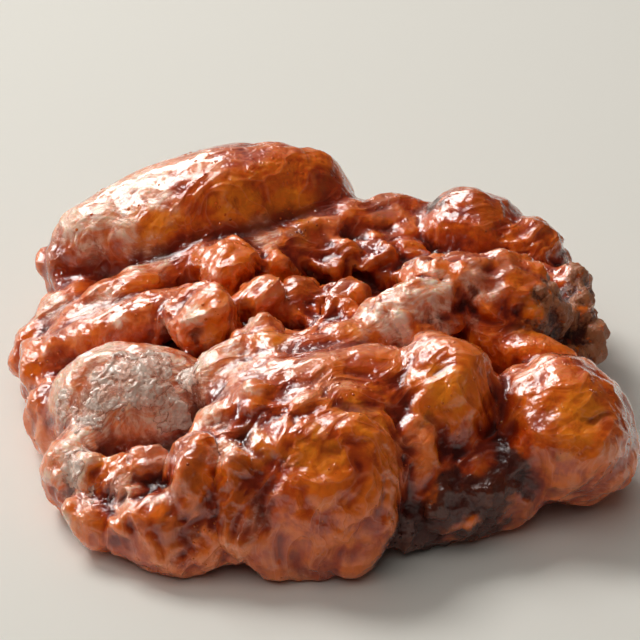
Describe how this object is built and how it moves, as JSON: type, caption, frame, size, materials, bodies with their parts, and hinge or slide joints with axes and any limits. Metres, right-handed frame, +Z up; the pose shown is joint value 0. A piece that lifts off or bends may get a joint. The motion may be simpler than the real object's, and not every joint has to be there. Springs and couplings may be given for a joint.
{
  "type": "apple fritter",
  "caption": "Fried apple fritter, a ragged patty of folded dough and diced apple under a clear brown glaze, flat underneath.",
  "frame": {"origin": "on the table, under the middle of the fritter's bounding box", "axes": "+X along the longer side, to the viewer's right in the picture; +Z up; -Y towards the viewer"},
  "size_m": [0.12, 0.1102, 0.0379],
  "materials": {
    "glazed_crust": "fried dough crust, amber to dark red-brown, wet and glossy under a clear sugar glaze, with dull white patches where the sugar has set"
  },
  "bodies": {
    "root": {"fritter": "glazed_crust"}
  },
  "joints": []
}
